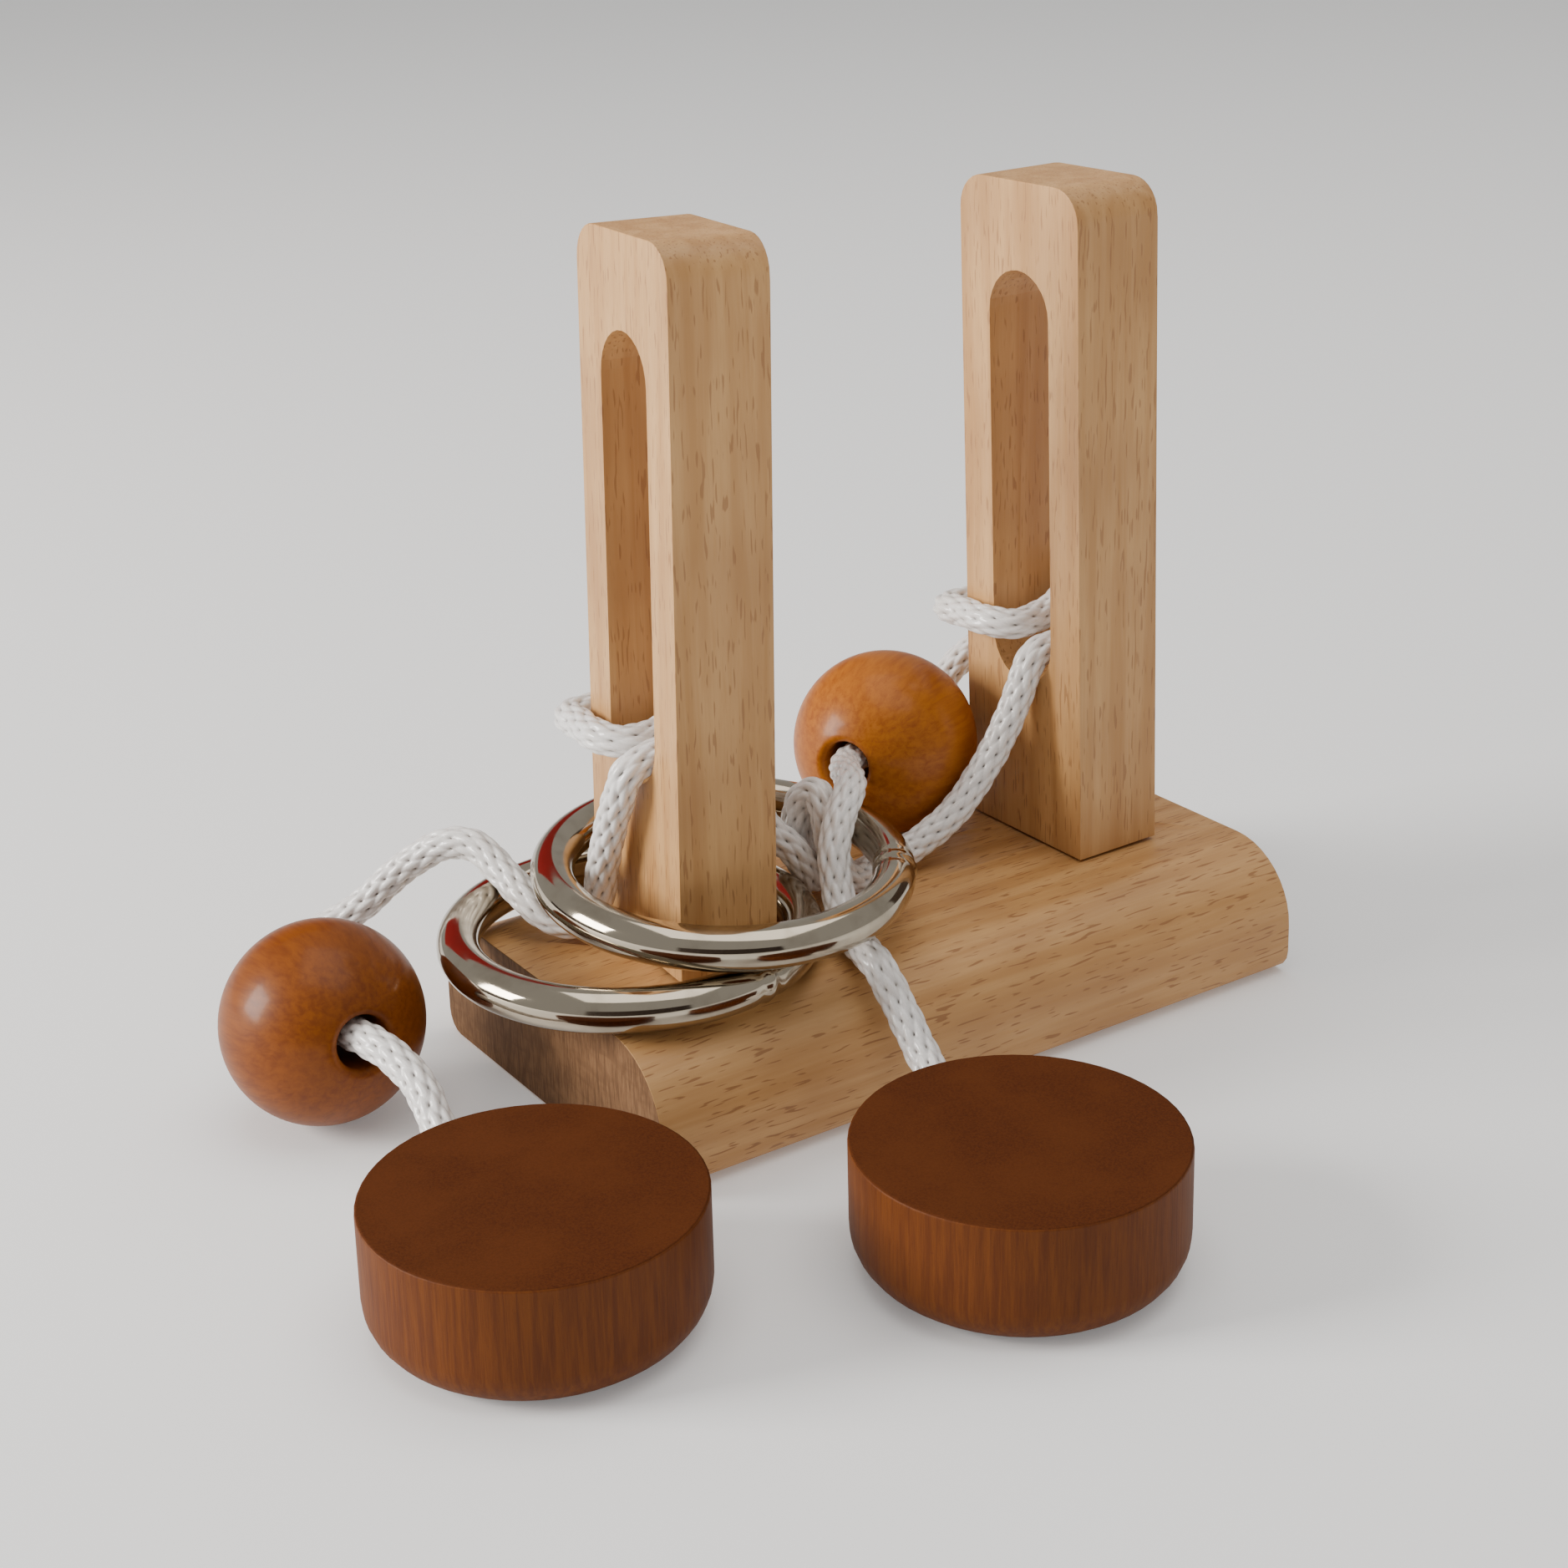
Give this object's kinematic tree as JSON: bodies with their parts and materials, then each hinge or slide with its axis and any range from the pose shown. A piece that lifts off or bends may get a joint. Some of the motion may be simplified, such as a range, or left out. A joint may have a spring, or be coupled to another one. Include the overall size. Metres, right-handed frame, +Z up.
{
  "type": "rope and ring disentanglement puzzle",
  "caption": "Wooden stand with slotted posts, a braided cord wrapped through them, loose steel rings round one post, wooden beads and end discs on the cord.",
  "frame": {"origin": "middle of the base's underside, on the surface the puzzle stands on", "axes": "+X from the left post to the right post along the base, +Y to the back, away from the two discs, +Z up"},
  "size_m": [0.1488, 0.1224, 0.1135],
  "materials": {
    "beech": "satin",
    "steel": "polished",
    "amber_wood": "satin lacquer",
    "dark_wood": "stained matt",
    "cord": "braided"
  },
  "bodies": {
    "stand": {"base": "beech", "left_post": "beech", "right_post": "beech", "left_post_dowel": "beech", "right_post_dowel": "beech", "cord_main": "cord", "cord_to_left_disc": "cord", "cord_to_right_disc": "cord"},
    "lower_ring": {"lower_ring": "steel"},
    "upper_ring": {"upper_ring": "steel"},
    "left_bead": {"left_bead": "amber_wood"},
    "right_bead": {"right_bead": "amber_wood"},
    "left_disc": {"left_disc": "dark_wood"},
    "right_disc": {"right_disc": "dark_wood"}
  },
  "joints": [
    {"name": "lower_ring_spin", "type": "hinge", "parent": "stand", "child": "lower_ring", "pos_m": [-0.0404, 0.0006, 0.0212], "axis": [0, 0, 1], "continuous": true},
    {"name": "upper_ring_spin", "type": "hinge", "parent": "stand", "child": "upper_ring", "pos_m": [-0.028, -0.003, 0.0283], "axis": [0.01, -0.0599, 0.9982], "continuous": true},
    {"name": "left_bead_spin", "type": "hinge", "parent": "stand", "child": "left_bead", "pos_m": [-0.0779, 0.0162, 0.0133], "axis": [0.02, -0.9879, 0.154], "continuous": true},
    {"name": "right_bead_spin", "type": "hinge", "parent": "stand", "child": "right_bead", "pos_m": [0.011, 0.014, 0.0316], "axis": [-0.8953, -0.4432, 0.045], "continuous": true},
    {"name": "left_disc_lift", "type": "slide", "parent": "stand", "child": "left_disc", "axis": [0, 0, 1], "range_m": [0, 0.012], "deforming": ["cord_to_left_disc"]},
    {"name": "right_disc_lift", "type": "slide", "parent": "stand", "child": "right_disc", "axis": [0, 0, 1], "range_m": [0, 0.012], "deforming": ["cord_to_right_disc"]}
  ]
}
